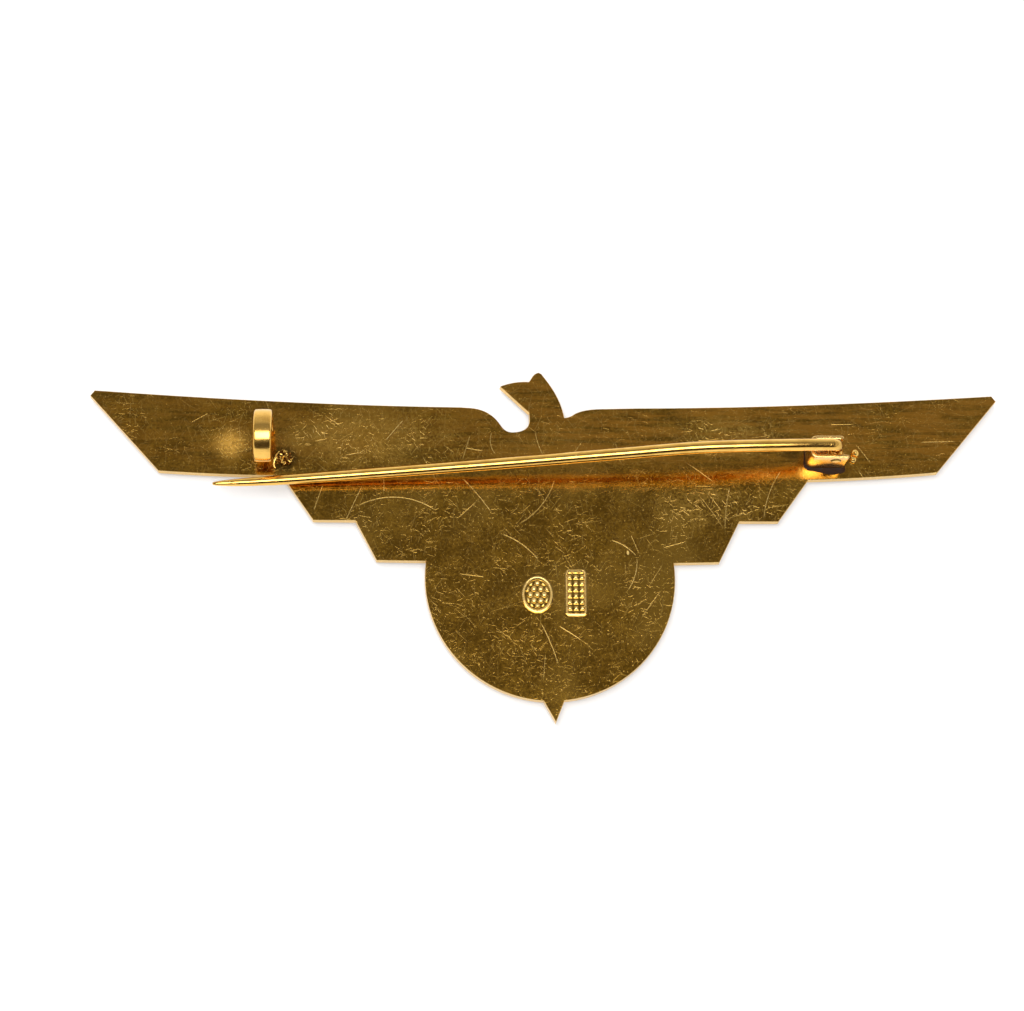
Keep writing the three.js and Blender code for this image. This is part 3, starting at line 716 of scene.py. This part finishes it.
def add_sheet():
    loop = flat_outline("backing_plate", SHEET_TOP)
    coarse = hex_grid(SHEET_LOW, SHEET_HIGH, GRID_PITCH)
    points = [p for p in coarse if mark_distance(*p) >= MARK_EDGE]
    fine = hex_grid(
        (OVAL_MARK["middle"][0] - 1.6, BAR_MARK["middle"][1] - 2.1),
        (BAR_MARK["middle"][0] + 1.2, BAR_MARK["middle"][1] + 2.1),
        MARK_PITCH,
    )
    points += [p for p in fine if mark_distance(*p) < 0.3]
    stain_low = (LUMP_MIDDLE.x - 1.3, LUMP_MIDDLE.y - 1.3)
    stain_high = (LUMP_MIDDLE.x + 1.3, LUMP_MIDDLE.y + 1.3)
    points += [(x + 0.013, y + 0.017) for x, y in hex_grid(stain_low, stain_high, 0.14)]
    for distance in (0.075, 0.15, 0.34, 0.6):
        ring = inset(loop, distance)
        nearest, inside = distance_to_loop([tuple(p) for p in ring], loop)
        points += [tuple(p) for p, d, ok in zip(ring, nearest, inside) if ok and d > distance * 0.9]
    rim = [
        (EDGE_BEVEL, SHEET_TOP),
        (0.0, SHEET_TOP - EDGE_BEVEL),
        (-SIDE_FLARE, SHEET_BOTTOM + EDGE_BEVEL),
    ]
    extras = {"polish_and_edge_highlight": mark_polish_and_edge_highlight, "grime_and_shade": sheet_grime}
    corners, faces, values = crowned_slab(loop, points, rim, (0.0, SHEET_BOTTOM), sheet_crown, 1, extras)
    add_piece("sheet_badge", corners, faces, SHEET_GOLD, ["backing_plate"], values, 35)


add_sheet()

# ---------- the wire ----------

WIRE_SIDES = 40
WIRE_BEND = 0.6
TIP_RADIUS = 0.13
POINT_LENGTH = 4.4
POINT_ROOT_RADIUS = 0.345
POINT_STATIONS = 24
SPLITS = 4  # finer steps between the CAD stem's rings


def stem_stations():
    """Centre and radius of each ring of the CAD stem, from the hinge to the point."""
    corners = {tuple(round(c / MM, 4) for c in v.co) for v in frame["nodes"]["pin_stem"].data.vertices}
    root = Vector((WIRE_ROOT.x, WIRE_ROOT.y))
    tip = max(corners, key=lambda c: (Vector(c[:2]) - root).length)
    along = (Vector(tip[:2]) - root).normalized()
    ordered = sorted((along.dot(Vector(c[:2]) - root), c) for c in corners)
    groups = [[ordered[0]]]
    for before, here in zip(ordered, ordered[1:]):
        if here[0] - before[0] > 0.12:
            groups.append([])
        groups[-1].append(here)
    stations = []
    for group in groups:
        ring = [Vector(c) for _, c in group]
        centre = sum(ring, Vector()) / len(ring)
        stations.append((*centre, max((c - centre).length for c in ring)))
    return stations, along


def smooth_path(stations, splits):
    """Catmull-Rom through the stations, each a point with a radius."""
    s = [np.array(p) for p in stations]
    s = [2 * s[0] - s[1], *s, 2 * s[-1] - s[-2]]
    path = []
    for a, b, c, d in zip(s, s[1:], s[2:], s[3:]):
        for t in np.arange(splits) / splits:
            bent = (2 * a - 5 * b + 4 * c - d) * t**2 + (3 * b - a - 3 * c + d) * t**3
            path.append(0.5 * (2 * b + (c - a) * t + bent))
    path.append(s[-2])
    return path


def tube_rings(path, sides):
    """Round rings square to the path. Each path point has a radius as its fourth number."""
    rings = []
    for i, here in enumerate(path):
        ahead = Vector(path[min(i + 1, len(path) - 1)][:3]) - Vector(path[max(i - 1, 0)][:3])
        ahead.normalize()
        side = Vector((-WIRE_SIDEWAYS.x, -WIRE_SIDEWAYS.y, 0))
        up = ahead.cross(side).normalized()
        side = up.cross(ahead)
        centre, radius = Vector(here[:3]), float(here[3])
        angles = [math.tau * k / sides for k in range(sides)]
        rings.append([centre + (side * math.cos(a) + up * math.sin(a)) * radius for a in angles])
    return rings


STEM, STEM_ALONG = stem_stations()
WIRE_SIDEWAYS = Vector((-STEM_ALONG.y, STEM_ALONG.x, 0))
ROOT_ALONG = STEM_ALONG.dot(WIRE_ROOT.xy)


def add_wire():
    """One wire: up from the eye, round a bend, and out to the point."""
    radius = STEM[0][3]
    along = Vector((STEM_ALONG.x, STEM_ALONG.y, 0))
    bend_low = WIRE_ROOT.z - WIRE_BEND
    path = []
    for height in np.linspace(RIVET.z + 0.25, bend_low, 4, endpoint=False):
        path.append((WIRE_ROOT.x, WIRE_ROOT.y, height, radius))
    for angle in np.radians(np.arange(0, 91, 9)):
        out = along * WIRE_BEND * (1 - math.cos(angle))
        height = bend_low + WIRE_BEND * math.sin(angle)
        path.append((WIRE_ROOT.x + out.x, WIRE_ROOT.y + out.y, height, radius))
    path += smooth_path(STEM[1:], SPLITS)
    last = np.array(path[-1])
    ahead = Vector(last[:3] - np.array(path[-2])[:3]).normalized()
    tip = last.copy()
    last[3] = TIP_RADIUS
    for station in path[-POINT_STATIONS:]:
        share = min(np.linalg.norm(station[:3] - tip[:3]) / POINT_LENGTH, 1.0)
        full = TIP_RADIUS + (POINT_ROOT_RADIUS - TIP_RADIUS) * (1 - (1 - share) ** 2) ** 0.75
        station[3] = max(station[3], full) if share < 1 else station[3]
    for share in (0.5, 0.85, 1.0):
        end = Vector(last[:3]) + ahead * last[3] * share
        path.append((*end, last[3] * math.sqrt(1 - min(share, 0.98) ** 2)))
    corners, faces = capped_tube(tube_rings(path, WIRE_SIDES))
    # painted shade: the wire darkens towards its root in the hinge box
    grime_and_shade = [0.5 * (1 - smooth_step(p.xy.dot(STEM_ALONG) - ROOT_ALONG, -0.42, 0.35)) for p in corners]
    values = {"grime_and_shade": grime_and_shade}
    wire = add_piece("pin_wire", corners, faces, WIRE_GOLD, ["pin_stem"], values, 60, None)
    end = (WIRE_ROOT + along * 7.0) * MM
    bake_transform(wire)


def lathe(profile, steps, centre):
    """A profile of (radius, offset along the axis) points, turned about the Y axis through centre."""
    rings = []
    for i in range(steps):
        angle = math.tau * i / steps
        rings.append([centre + Vector((r * math.sin(angle), y, r * math.cos(angle))) for r, y in profile])
    return rings


def rounded_section(inner, outer, half, corner, steps=4):
    """A closed rectangle with round corners: radius from inner to outer, offset from -half to half."""
    section = []
    corners = [
        (outer - corner, half - corner, 0),
        (inner + corner, half - corner, 90),
        (inner + corner, corner - half, 180),
        (outer - corner, corner - half, 270),
    ]
    for r, y, first in corners:
        for i in range(steps + 1):
            angle = math.radians(first + 90 * i / steps)
            section.append((r + corner * math.cos(angle), y + corner * math.sin(angle)))
    return section


def add_eye():
    """The wire's eye: a short round barrel about the rivet."""
    low, high = box_mm("pin_knuckle")
    outer = RIVET.z - low.z
    half = (high.y - low.y) / 2
    corners, faces = closed_tube(lathe(rounded_section(outer - 0.25, outer, half, 0.1), 40, RIVET))
    add_piece("pin_eye", corners, faces, FITTING_GOLD, ["pin_knuckle"], body="knuckle")


add_wire()
add_eye()

# ---------- the catch ----------

CATCH_OUTER = (CATCH_HIGH.y - CATCH_LOW.y) / 2
CATCH_THICKNESS = 0.68
CATCH_MIDDLE = Vector((
    (CATCH_LOW.x + CATCH_HIGH.x) / 2,
    (CATCH_LOW.y + CATCH_HIGH.y) / 2,
    CATCH_HIGH.z - CATCH_OUTER,
))
CATCH_HALF = (CATCH_HIGH.x - CATCH_LOW.x) / 2
CATCH_LIP = math.radians(95)
CATCH_FOOT = math.radians(-147)
CATCH_STEPS = 72
CROWN_SHARES = (0, 0.2, 0.4, 0.6, 0.74, 0.82, 0.88, 0.93, 0.97, 1.0)


def band_section(scale):
    """Band with a barely crowned face and small bevels: (depth from the crown, offset across)."""
    half = CATCH_HALF * scale
    crown = [(share, 0.05 * share**2 + 0.16 * max(0, (share - 0.80) / 0.20) ** 2) for share in CROWN_SHARES]
    section = [(depth, half * share) for share, depth in reversed(crown)]
    section += [(depth, -half * share) for share, depth in crown[1:]]
    section += [(0.42, -half), (CATCH_THICKNESS - 0.08, -half * 0.97), (CATCH_THICKNESS, -half * 0.86)]
    section += [(CATCH_THICKNESS, half * 0.86), (CATCH_THICKNESS - 0.08, half * 0.97), (0.42, half)]
    return section


def add_catch():
    rings = []
    round_end = 0.3
    for i in range(CATCH_STEPS + 1):
        angle = CATCH_FOOT + (CATCH_LIP - CATCH_FOOT) * i / CATCH_STEPS
        to_lip = (CATCH_LIP - angle) * CATCH_OUTER
        narrow = 1.0
        thin = 0.0
        if to_lip < round_end:
            t = 1 - to_lip / round_end
            narrow = 1 - 0.22 * t**4
            thin = 0.10 * t**4
        ring = []
        for depth, across in band_section(narrow):
            radius = CATCH_OUTER - thin - depth * (1 - thin * 1.5)
            ring.append(CATCH_MIDDLE + Vector((across, -radius * math.sin(angle), radius * math.cos(angle))))
        rings.append(ring)
    for ring in rings:
        for p in ring:
            p.z = max(p.z, CATCH_LOW.z)
    corners, faces = capped_tube(rings)
    add_piece("catch_hook_band", corners, faces, FITTING_GOLD, ["catch_hook"], sharp=50)


add_catch()

# ---------- solder ----------


def add_lump(name, node, roughness, size=1.0, seed=0.0, material=SOLDER, rings=20, sides=28):
    """A rough dome over a CAD solder lump."""
    low, high = box_mm(node)
    middle = (low + high) / 2
    radius = (high.x - low.x) / 2 * size
    tall = (high.z - low.z) * size
    foot = Vector((middle.x, middle.y, low.z))
    corners = [Vector((middle.x, middle.y, low.z + tall))]
    for i in range(1, rings + 1):
        tilt = math.pi / 2 * i / rings
        for k in range(sides):
            turn = math.tau * k / sides
            p = Vector((math.sin(tilt) * math.cos(turn), math.sin(tilt) * math.sin(turn), math.cos(tilt)))
            lift = 1 + roughness * noise.fractal(p * 2.2 + Vector((seed, seed, 0)), 0.6, 2.0, 4)
            corners.append(foot + Vector((p.x * radius, p.y * radius, p.z * tall)) * lift)
    for p in corners[-sides:]:
        p.z = SHEET_TOP - 0.03
    faces = [(0, 1 + k, 1 + (k + 1) % sides) for k in range(sides)]
    for i in range(rings - 1):
        near = 1 + i * sides
        far = near + sides
        faces += [(near + k, far + k, far + (k + 1) % sides, near + (k + 1) % sides) for k in range(sides)]
    faces.append(tuple(1 + (rings - 1) * sides + k for k in reversed(range(sides))))
    add_piece(name, corners, faces, material, [node], sharp=75)


def add_solder_tail():
    """A drawn-out bead of solder that curves from the lump to the catch's foot."""
    path = []
    for i in range(15):
        share = i / 14
        angle = math.radians(128 + 100 * share)
        reach = 0.62 + 0.42 * smooth_step(share, 0.45, 1.0)
        radius = 0.11 * math.sin(math.pi * (0.12 + 0.80 * share)) + 0.02
        x = LUMP_MIDDLE.x + reach * math.cos(angle)
        y = LUMP_MIDDLE.y + reach * math.sin(angle)
        wobble = 0.03 * noise.noise(Vector((share * 6, 0, 7.0)))
        path.append((x + wobble, y - wobble, SHEET_TOP + radius * 0.6, radius))
    corners, faces = capped_tube(tube_rings(path, 14))
    add_piece("catch_solder_tail", corners, faces, SOLDER_BRIGHT, sharp=60)


add_lump("catch_solder_lump", "catch_solder", 0.45, size=0.92, seed=2.0, rings=28, sides=40)
add_solder_tail()
for bead in (1, 2):
    add_lump(f"hinge_bead_{bead}", f"hinge_solder_{bead}", 0.12, 1.15, 4.0 + bead, SOLDER_BRIGHT, 10, 20)

# ---------- the hinge box ----------

HINGE_WALL = 0.3
HINGE_FLOOR = 0.27
HINGE_RIM = 0.08  # radius of the rim's edges
HINGE_SLANT = 0.42
# corner radii at the round end and at the slanted end
OUTSIDE = (0.55, 0.2)
INSIDE = (0.38, 0.03)
STOP_HEIGHT = 1.15
UNDERCUT = 0.10  # the folded sheet curves in under the box's lower edge
RIVET_PROUD = 0.13


BOX_SIDE_STEPS = 14
BOX_CORNER_STEPS = 8


def box_outline(grow, corner_left, corner_right):
    """Plan of the hinge box, grown by grow. Every size gives equally many points in the same order."""
    low_x, high_x = HINGE_LOW.x - grow, HINGE_HIGH.x + grow
    low_y, high_y = HINGE_LOW.y - grow, HINGE_HIGH.y + grow
    far_x = high_x - HINGE_SLANT
    corners = [
        ((high_x, low_y), corner_right),
        ((far_x, high_y), corner_right),
        ((low_x, high_y), corner_left),
        ((low_x, low_y), corner_left),
    ]
    outline = []
    for i, (here, radius) in enumerate(corners):
        here = Vector(here)
        before = Vector(corners[i - 1][0])
        after, next_radius = corners[(i + 1) % 4]
        after = Vector(after)
        start = here + (before - here).normalized() * radius
        end = here + (after - here).normalized() * radius
        for k in range(BOX_CORNER_STEPS):
            t = k / BOX_CORNER_STEPS
            outline.append(start * (1 - t) ** 2 + here * 2 * t * (1 - t) + end * t * t)
        far_end = after + (here - after).normalized() * next_radius
        outline += [end.lerp(far_end, k / BOX_SIDE_STEPS) for k in range(BOX_SIDE_STEPS)]
    return outline


def box_top(index):
    """Height of the rim at a point of the outline: low along the slanted end, full height elsewhere."""
    along = (index - BOX_CORNER_STEPS) / BOX_SIDE_STEPS
    full = HINGE_HIGH.z
    if 0.04 < along < 0.96:
        low = SHEET_TOP + STOP_HEIGHT
        return low + (full - low) * (1 - smooth_step(0.5 - abs(along - 0.5), 0.03, 0.07))
    return full


def add_hinge_box():
    def ring(grow, radii, height_of):
        outline = box_outline(grow, *radii)
        made = []
        for i, p in enumerate(outline):
            wobble = 0.012 * noise.noise(Vector((p.x * 1.4, p.y * 1.4, height_of(i) * 1.4)))
            made.append(Vector((p.x + wobble, p.y + wobble, height_of(i))))
        return made

    base = HINGE_LOW.z
    rings = []
    for angle in np.radians(np.linspace(0, 90, 6)):
        height = base + UNDERCUT * (1 - math.cos(angle))
        rings.append(ring(-UNDERCUT * (1 - math.sin(angle)), OUTSIDE, lambda _, z=height: z))
    bent = base + UNDERCUT
    for share in (0.4, 0.8):
        rings.append(ring(0, OUTSIDE, lambda k, s=share: bent + (box_top(k) - HINGE_RIM - bent) * s))
    for angle in np.radians((0, 30, 60, 90)):
        drop = HINGE_RIM * (1 - math.sin(angle))
        rings.append(ring(-HINGE_RIM * (1 - math.cos(angle)), OUTSIDE, lambda k, d=drop: box_top(k) - d))
    for angle in np.radians((90, 60, 30, 0)):
        drop = HINGE_RIM * (1 - math.sin(angle))
        grow = HINGE_RIM * (1 - math.cos(angle)) - HINGE_WALL
        rings.append(ring(grow, INSIDE, lambda k, d=drop: box_top(k) - d))
    rings.append(ring(-HINGE_WALL, INSIDE, lambda _: SHEET_TOP + HINGE_FLOOR + 0.1))
    rings.append(ring(-HINGE_WALL - 0.1, INSIDE, lambda _: SHEET_TOP + HINGE_FLOOR))
    corners, faces = capped_tube(rings)
    # painted shade: the box darkens over its lowest 0.2 mm, where it meets the sheet
    grime_and_shade = [0.6 * (1 - smooth_step(p.z - base, 0.0, 0.2)) for p in corners]
    values = {"grime_and_shade": grime_and_shade}
    add_piece("hinge_box_folded", corners, faces, HINGE_GOLD, ["hinge_box"], values, 50)


def add_rivet():
    """Shank and two domed heads, turned about the Y axis."""
    low, high = box_mm("hinge_rivet")
    half = (high.y - low.y) / 2
    head = (high.z - low.z) / 2
    wall = (HINGE_HIGH.y - HINGE_LOW.y) / 2
    half = min(half, wall + RIVET_PROUD)
    profile = []
    for i in range(7):
        angle = math.radians(90 * i / 6)
        profile.append((head * math.sin(angle), half - RIVET_PROUD * 0.8 * (1 - math.cos(angle))))
    profile += [(head * 0.98, wall - 0.02), (0.28, wall - 0.02)]
    profile += [(r, -y) for r, y in reversed(profile)]
    rings = lathe(profile[1:-1], 32, RIVET)
    sides = len(rings[0])
    corners, faces = turned_skin(rings)
    ends = [RIVET + Vector((0, half, 0)), RIVET - Vector((0, half, 0))]
    for end, offset in zip(ends, (0, sides - 1)):
        corners.append(end)
        tip = len(corners) - 1
        faces += [(tip, i * sides + offset, (i + 1) % len(rings) * sides + offset) for i in range(len(rings))]
    # painted shade: a dark ring round the rim of each rivet head, where it meets the box
    grime_and_shade = [smooth_step(math.hypot(p[0] - RIVET.x, p[2] - RIVET.z), head * 0.75, head) for p in corners]
    values = {"grime_and_shade": grime_and_shade}
    add_piece("hinge_rivet_domed", corners, faces, FITTING_GOLD, ["hinge_rivet"], values, 60)


# share of the reach out from the box's wall, or in from it, and height over the sheet
FILLET_SECTION = [
    (1.0, -0.03), (0.93, 0.03), (0.3, 0.05), (-0.15, 0.11), (-0.6, 0.13), (-1.0, 0.09), (-1.0, -0.03),
]
FILLET_REACH = 0.30
SHADOW_SOUTH_REACH = 0.56  # how far the painted shadow runs out on the side away from the head
FILLET_SIDES = 0.12


def add_shadow_skirt():
    """Low skirt of solder round the foot of the hinge box, coloured nearly black as a painted shadow."""
    rings = []
    outline = box_outline(0, *OUTSIDE)
    for share, height in FILLET_SECTION:
        ring = []
        for p in outline:
            out = Vector((p.x - RIVET.x, p.y - RIVET.y)).normalized()
            reach = FILLET_REACH
            if share > 0:
                ragged = 1 + 0.2 * noise.noise(Vector((p.x * 2.0, p.y * 2.0, 1.0)))
                reach = ragged * (FILLET_SIDES + (SHADOW_SOUTH_REACH - FILLET_SIDES) * max(0, -out.y) ** 0.7)
            moved = p + Vector((out.x * 0.6, out.y)) * reach * share
            ring.append(Vector((*moved, SHEET_TOP + height)))
        rings.append(ring)
    corners, faces = closed_tube(rings)
    add_piece("hinge_fillet_painted_shadow", corners, faces, SHADOW_SKIRT)


add_hinge_box()
add_rivet()
add_shadow_skirt()

# ---------- the raised front, which faces the table ----------

RELIEF_BACK = box_mm("head_relief")[1].z
RELIEF_GRID = 0.17
ROW_EDGES = (1.85, 5.2)  # heights where the lower, middle and upper rows of feathers meet
ROW_STEP = 0.08
FEATHER_PITCH = 2.3
FEATHER_SLANT = 0.75
FEATHER_RIDGE = 0.13
FIELD_HEIGHT = 0.30
RING_STEPS = 144
BEZEL_WIDTH = 0.8


def feather_place(x, y):
    """Which row a place is in, counted from the top, and how far across its feather it is, from 0 to 1."""
    row = sum(y < edge for edge in ROW_EDGES)
    lean = (abs(x) + y * FEATHER_SLANT) / FEATHER_PITCH + row * 0.4
    return row, lean - math.floor(lean)


def feather_crown(x, y, edge):
    row, across = feather_place(x, y)
    ridge = FEATHER_RIDGE * smooth_step(across, 0.0, 0.85) * (1 - smooth_step(across, 0.93, 1.0))
    shaft = 0.03 * bell(across - 0.62, 0.05)
    barbs = 0.008 * math.sin((abs(x) * 0.5 - y) * 18)
    fall = smooth_step(edge, 0.0, 0.3)
    return (FIELD_HEIGHT - FEATHER_RIDGE - 0.02 - ROW_STEP * row + ridge + shaft + barbs) * fall


def feather_grime(x, y, edge):
    _, across = feather_place(x, y)
    near_row = min(abs(y - row_edge) for row_edge in ROW_EDGES)
    return max(1 - smooth_step(across, 0.02, 0.22), 0.7 * (1 - smooth_step(near_row, 0.05, 0.3)))


EYE = (-1.15, 12.05)
BEAK_LINE = ((-3.2, 12.2), (-1.7, 11.75))


def head_crown(x, y, edge):
    dome = 0.24 * smooth_step(edge, 0.0, 0.9) ** 0.7
    from_eye = math.hypot(x - EYE[0], y - EYE[1])
    eye = 0.05 * (1 - smooth_step(from_eye, 0.10, 0.2)) - 0.05 * bell(from_eye - 0.26, 0.07)
    start, end = Vector(BEAK_LINE[0]), Vector(BEAK_LINE[1])
    along = min(max((Vector((x, y)) - start).dot(end - start) / (end - start).length_squared, 0), 1)
    beak = 0.06 * bell((Vector((x, y)) - start.lerp(end, along)).length, 0.07)
    row = math.floor(y / 0.62)
    scale_x = (x / 0.8 + row % 2 / 2) % 1 - 0.5
    scale_y = y / 0.62 - row
    field = smooth_step(10.6 - y, 0.0, 0.8) * smooth_step(edge, 0.1, 0.4)
    return dome + eye - beak + 0.05 * (scale_y - 0.9 * scale_x**2) * field


def head_grime(x, y, edge):
    return 1 - smooth_step(head_crown(x, y, edge), 0.02, 0.2)


def tail_crown(x, y, edge):
    return 0.2 * smooth_step(edge, 0.0, 0.25)


def add_relief(name, node, crown, grime_and_shade):
    """A closed piece over a CAD relief, with its detailed face turned to the table."""
    loop = flat_outline(node, RELIEF_BACK)
    low, high = box_mm(node)
    points = hex_grid(low, high, RELIEF_GRID)
    rim = [(0.05, FIELD_HEIGHT), (0.015, FIELD_HEIGHT + 0.015), (0.0, FIELD_HEIGHT + 0.05)]
    corners, faces, values = crowned_slab(loop, points, rim, (0.0, RELIEF_BACK), crown, -1, {"grime_and_shade": grime_and_shade})
    add_piece(name, corners, faces, RELIEF_GOLD, [node], values, 50)


def ring_about_disc(section):
    """Points of one closed section per step round the disc. section(angle) lists (radius, height)."""
    rings = []
    for i in range(RING_STEPS):
        angle = math.tau * i / RING_STEPS
        out = Vector((math.cos(angle), math.sin(angle), 0))
        middle = Vector((DISC_MIDDLE.x, DISC_MIDDLE.y, 0))
        rings.append([middle + out * r + Vector((0, 0, z)) for r, z in section(angle)])
    return rings


def add_bezel():
    outer = box_mm("roundel_bezel")[1].x

    def section(angle):
        bead = 0.06 * (1 - abs(math.sin(angle * RING_STEPS / 4)) ** 2)
        wall = [(0, RELIEF_BACK), (0, 0.10), (0.04, 0.03), (0.1, 0), (0.26, 0)]
        groove = [(0.31, 0.08), (0.38, 0.02 + bead), (0.45, 0.02 + bead), (0.52, 0.08)]
        lip = [(0.57, 0.02), (0.68, 0.02), (BEZEL_WIDTH, 0.10), (BEZEL_WIDTH, RELIEF_BACK)]
        return [(outer - depth, height) for depth, height in wall + groove + lip]

    corners, faces = closed_tube(ring_about_disc(section))
    add_piece("bezel_beaded", corners, faces, RELIEF_GOLD, ["roundel_bezel"], sharp=45)


def add_enamel():
    """A gently domed disc of glass."""
    low, high = box_mm("roundel_enamel")
    radius = high.x

    def section(_):
        shares = (0.01, 0.15, 0.3, 0.45, 0.6, 0.75, 0.88, 0.97)
        dome = [(radius * share, low.z + 0.07 * share**2) for share in shares]
        return dome + [(radius, low.z + 0.1), (radius, high.z), (radius * 0.01, high.z)]

    rings = ring_about_disc(section)
    corners, faces = turned_skin(rings)
    sides = len(rings[0])
    for strip_end in (0, sides - 1):
        faces.append(tuple(i * sides + strip_end for i in range(len(rings))))
    add_piece("enamel_disc", corners, faces, ENAMEL, ["roundel_enamel"], sharp=45)


def add_star():
    """Eight long points, each with two facets that meet in a ridge."""
    low, high = box_mm("roundel_star")
    outer = (high.x - low.x) / 2
    inner = outer / 3
    middle = Vector((DISC_MIDDLE.x, DISC_MIDDLE.y, 0))
    corners = []
    for height in (high.z, high.z - 0.03):
        for i in range(16):
            angle = math.tau * i / 16
            radius = inner if i % 2 else outer
            corners.append(middle + Vector((radius * math.sin(angle), radius * math.cos(angle), height)))
    corners += [middle + Vector((0, 0, high.z)), middle + Vector((0, 0, low.z))]
    faces = []
    for i in range(16):
        j = (i + 1) % 16
        faces += [(i, j, 16 + j, 16 + i), (i, j, 32), (16 + i, 16 + j, 33)]
    add_piece("star_faceted", corners, faces, RELIEF_GOLD, ["roundel_star"], sharp=2)


for side in ("hinge_side", "catch_side"):
    add_relief(f"wing_feathers_{side}", f"{side}_wing_relief", feather_crown, feather_grime)
add_relief("bird_head_front", "head_relief", head_crown, head_grime)
add_relief("tail_point_front", "tail_relief", tail_crown, tail_crown)
add_bezel()
add_enamel()
add_star()

# ---------- floor and light ----------

FLOOR_RADIUS = 0.50
WALL_HEIGHT = 0.18
WALL_CURVE = 0.10
FLOOR_GLOW = 0.30  # light of the floor's own, as on a light table, which keeps shadows faint


def add_floor():
    """A round white tray with a curved wall."""
    profile = [(0.0005, 0.0), (FLOOR_RADIUS / 2, 0.0), (FLOOR_RADIUS, 0.0)]
    for i in range(1, 13):
        angle = math.radians(90 * i / 12)
        profile.append((FLOOR_RADIUS + WALL_CURVE * math.sin(angle), WALL_CURVE * (1 - math.cos(angle))))
    profile.append((FLOOR_RADIUS + WALL_CURVE, WALL_HEIGHT))
    steps = 96
    turns = [math.tau * i / steps for i in range(steps)]
    points = [(r * math.cos(turn), r * math.sin(turn), z) for r, z in profile for turn in turns]
    mesh = bpy.data.meshes.new("floor")
    mesh.from_pydata(points, [], tube_faces(len(profile), steps) + [tuple(range(steps))])
    mesh.shade_smooth()
    m = Shading("floor_white", roughness=0.9, metallic=0.0)
    m.surface.inputs["Base Color"].default_value = (0.56, 0.56, 0.565, 1)
    m.surface.inputs["Emission Color"].default_value = (1, 1, 1, 1)
    m.surface.inputs["Emission Strength"].default_value = FLOOR_GLOW
    mesh.materials.append(m.material)
    floor = bpy.data.objects.new("floor", mesh)
    bpy.context.scene.collection.objects.link(floor)


def add_light(name, place, size, power, target=(0, 0, 0), in_reflections=True):
    data = bpy.data.lights.new(name, "AREA")
    data.shape = "RECTANGLE"
    data.size, data.size_y = size
    data.energy = power
    light = bpy.data.objects.new(name, data)
    light.location = place
    light.rotation_mode = "QUATERNION"
    light.rotation_quaternion = (Vector(target) - Vector(place)).to_track_quat("-Z", "Y")
    light.visible_glossy = in_reflections
    light.visible_camera = False
    bpy.context.scene.collection.objects.link(light)


def add_world(colour, strength):
    world = bpy.data.worlds.new("studio")
    world.use_nodes = True
    background = world.node_tree.nodes["Background"]
    background.inputs["Color"].default_value = (*colour, 1)
    background.inputs["Strength"].default_value = strength
    bpy.context.scene.world = world


LAMP_DISTANCE = 0.70


def toward(north, east=0.0):
    """A place at the lamps' distance from the badge. Angles are in degrees from straight above."""
    north, east = math.radians(north), math.radians(east)
    return Vector((math.tan(east), math.tan(north), 1)).normalized() * LAMP_DISTANCE


add_floor()
add_world((1.0, 0.74, 0.42), 0.045)
add_light("overhead", toward(-12), (0.56, 0.36), 2.9)
add_light("overhead_halo", toward(-12) * 1.04, (0.66, 0.46), 0.8)
add_light("near_north_card", toward(25), (1.0, 0.42), 0.32)
add_light("far_north_card", toward(60), (1.1, 0.45), 0.93)
add_light("east_card", toward(0, 58), (1.2, 0.45), 0.85)
add_light("west_card", toward(0, -58), (1.2, 0.45), 0.85)
add_light("fill", (-0.22, 0.2, 0.9), (0.6, 0.6), 6.3, in_reflections=False)
bpy.context.scene.view_settings.view_transform = "Standard"
